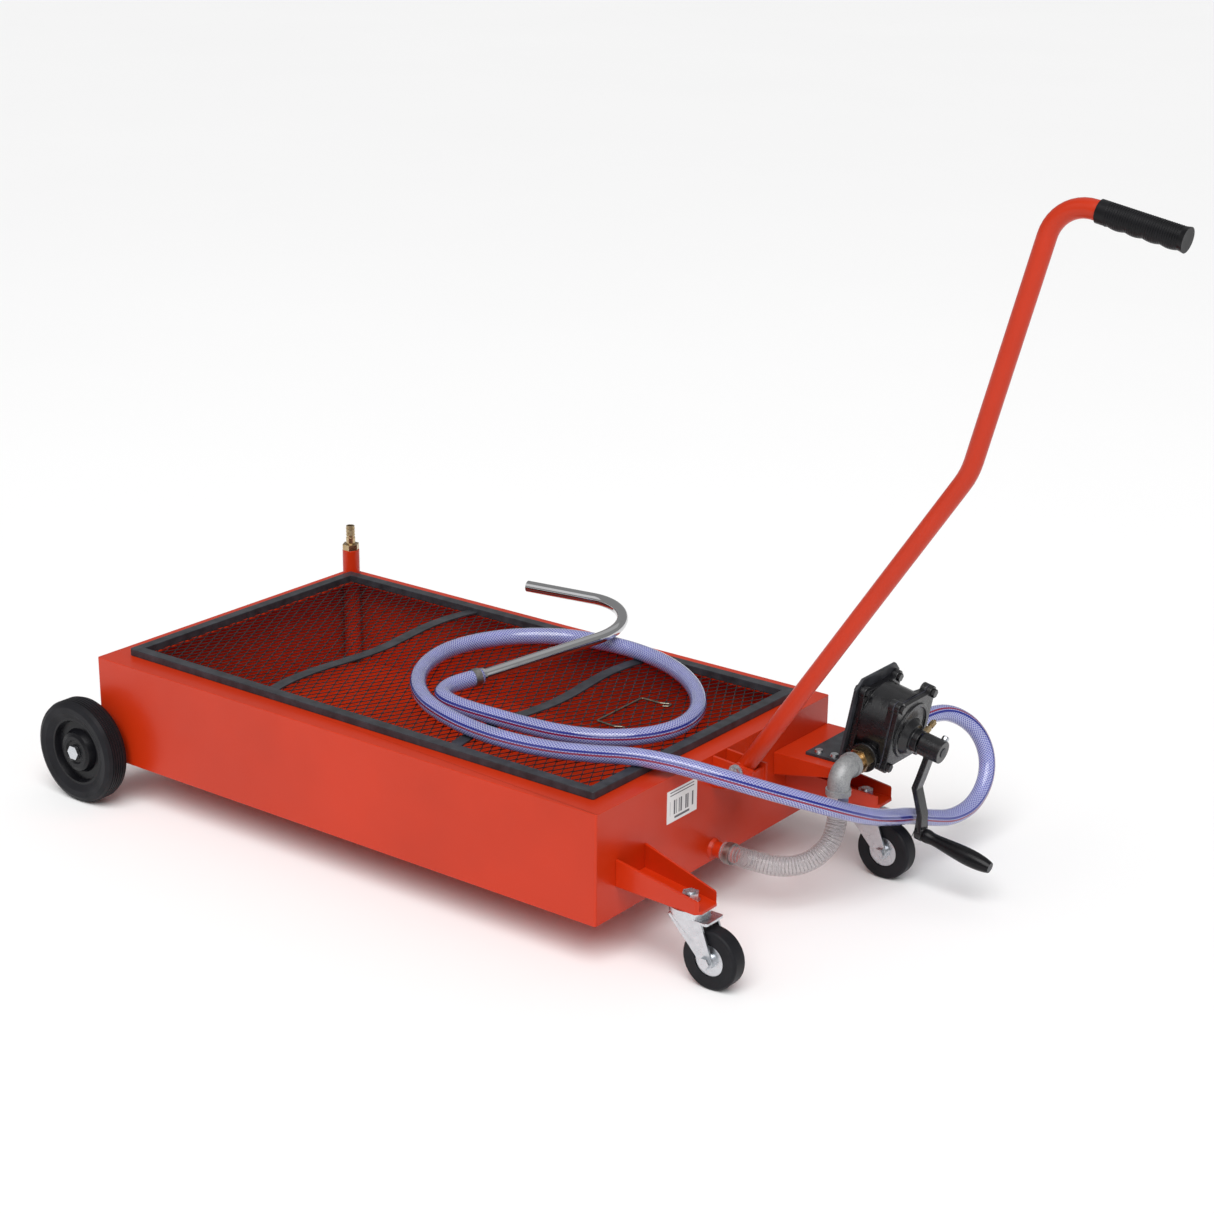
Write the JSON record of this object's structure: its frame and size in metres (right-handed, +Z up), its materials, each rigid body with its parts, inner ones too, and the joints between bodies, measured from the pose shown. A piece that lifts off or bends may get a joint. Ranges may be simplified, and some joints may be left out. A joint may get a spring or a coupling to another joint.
{
  "type": "wheeled drain tank",
  "caption": "Low rectangular drain tank on wheels with a mesh grate, hand-cranked pump, clear suction hose, delivery hose with a hooked spout, and a pull handle.",
  "frame": {"origin": "on the floor, under the middle of the whole object's box, hoses left out", "axes": "+X towards the pull handle and pump, +Y towards the pump's side, +Z up"},
  "size_m": [1.4859, 0.6893, 0.9285],
  "materials": {
    "red_paint": "glossy red-orange powder coat",
    "black_paint": "satin black paint on steel bar",
    "grate_wire": "dark painted expanded steel mesh",
    "bare_steel": "plain turned steel",
    "zinc": "bright zinc plate, slightly mottled",
    "tyre": "matt black rubber",
    "black_plastic": "matt black moulded plastic",
    "black_casting": "glossy black paint over a rough iron casting",
    "gasket": "dark fibre gasket",
    "brass": "yellow brass, turned",
    "galvanised": "mottled grey galvanised fitting",
    "clear_hose": "clear soft plastic with a wire spiral in its wall",
    "blue_hose": "lavender-blue see-through plastic with a white braid and two stripes",
    "chrome": "bright chrome plate",
    "grip_rubber": "black ribbed grip",
    "label": "plain white sticker",
    "hook_wire": "thin wire with a yellowish plating"
  },
  "bodies": {
    "tank": {"bracket_bolts": "zinc", "caster_arm_left": "red_paint", "caster_arm_right": "red_paint", "caster_kingpins": "zinc", "caster_nuts": "zinc", "caster_top_races": "zinc", "delivery_hose": "blue_hose", "delivery_hose_clamps": "zinc", "drain_stub": "red_paint", "grate_crossbars": "black_paint", "grate_frame": "black_paint", "grate_mesh": "grate_wire", "grease_nipple": "brass", "handle_bracket": "red_paint", "handle_pivot_bolt": "zinc", "handle_pivot_nut": "zinc", "inlet_bushing": "brass", "label_plate": "label", "outlet_fitting": "brass", "pump_body": "black_casting", "pump_bolts": "zinc", "pump_bracket": "black_paint", "pump_cover": "black_casting", "pump_gasket": "gasket", "pump_shelf": "red_paint", "rear_axle": "bare_steel", "rear_axle_caps": "zinc", "rear_axle_tube": "red_paint", "rear_axle_washers": "zinc", "riser_hose_barb": "brass", "riser_pipe": "red_paint", "spout_tube": "chrome", "suction_elbow": "galvanised", "suction_hose": "clear_hose", "suction_hose_clamps": "zinc", "suction_hose_tail": "zinc", "tank_pan": "red_paint"},
    "rear_wheel_right": {"rear_tyre_right": "tyre", "rear_hub_right": "black_plastic"},
    "rear_wheel_left": {"rear_tyre_left": "tyre", "rear_hub_left": "black_plastic"},
    "caster_swivel_right": {"caster_fork_right": "zinc", "caster_axle_right": "zinc"},
    "caster_swivel_left": {"caster_fork_left": "zinc", "caster_axle_left": "zinc"},
    "caster_wheel_right": {"caster_tyre_right": "tyre", "caster_hub_right": "zinc"},
    "caster_wheel_left": {"caster_tyre_left": "tyre", "caster_hub_left": "zinc"},
    "handle": {"handle_tube": "red_paint", "handle_grip": "grip_rubber"},
    "crank": {"crank_arm": "black_casting", "crank_set_screw": "zinc", "pump_shaft": "bare_steel", "pump_rotor": "black_casting", "pump_vanes": "gasket", "crank_pin": "bare_steel"},
    "crank_handle": {"crank_grip": "black_plastic"},
    "hook": {"wire_hook": "hook_wire"}
  },
  "joints": [
    {"name": "rear_wheel_right_spin", "type": "hinge", "parent": "tank", "child": "rear_wheel_right", "pos_m": [-0.67095, -0.276, 0.072], "axis": [0, 1, 0], "continuous": true},
    {"name": "rear_wheel_left_spin", "type": "hinge", "parent": "tank", "child": "rear_wheel_left", "pos_m": [-0.67095, 0.276, 0.072], "axis": [0, 1, 0], "continuous": true},
    {"name": "caster_right_swivel", "type": "hinge", "parent": "tank", "child": "caster_swivel_right", "pos_m": [0.28425, -0.193, 0.0885], "axis": [0, 0, 1], "continuous": true},
    {"name": "caster_right_roll", "type": "hinge", "parent": "caster_swivel_right", "child": "caster_wheel_right", "pos_m": [0.31925, -0.193, 0.0375], "axis": [0, 1, 0], "continuous": true},
    {"name": "caster_left_swivel", "type": "hinge", "parent": "tank", "child": "caster_swivel_left", "pos_m": [0.28425, 0.193, 0.0885], "axis": [0, 0, 1], "continuous": true},
    {"name": "caster_left_roll", "type": "hinge", "parent": "caster_swivel_left", "child": "caster_wheel_left", "pos_m": [0.31925, 0.193, 0.0375], "axis": [0, 1, 0], "continuous": true},
    {"name": "handle_fold", "type": "hinge", "parent": "tank", "child": "handle", "pos_m": [0.22525, 0, 0.187], "axis": [0, -1, 0], "range_deg": [0, 84]},
    {"name": "crank_turn", "type": "hinge", "parent": "tank", "child": "crank", "pos_m": [0.28584, 0.191, 0.21018], "axis": [0.9816, 0, -0.1908], "continuous": true},
    {"name": "crank_grip_spin", "type": "hinge", "parent": "crank", "child": "crank_handle", "pos_m": [0.36345, 0.191, 0.07488], "axis": [0.9816, 0, -0.1908], "continuous": true},
    {"name": "hook_lift", "type": "slide", "parent": "tank", "child": "hook", "axis": [0, 0, 1], "range_m": [0, 0.06]}
  ]
}
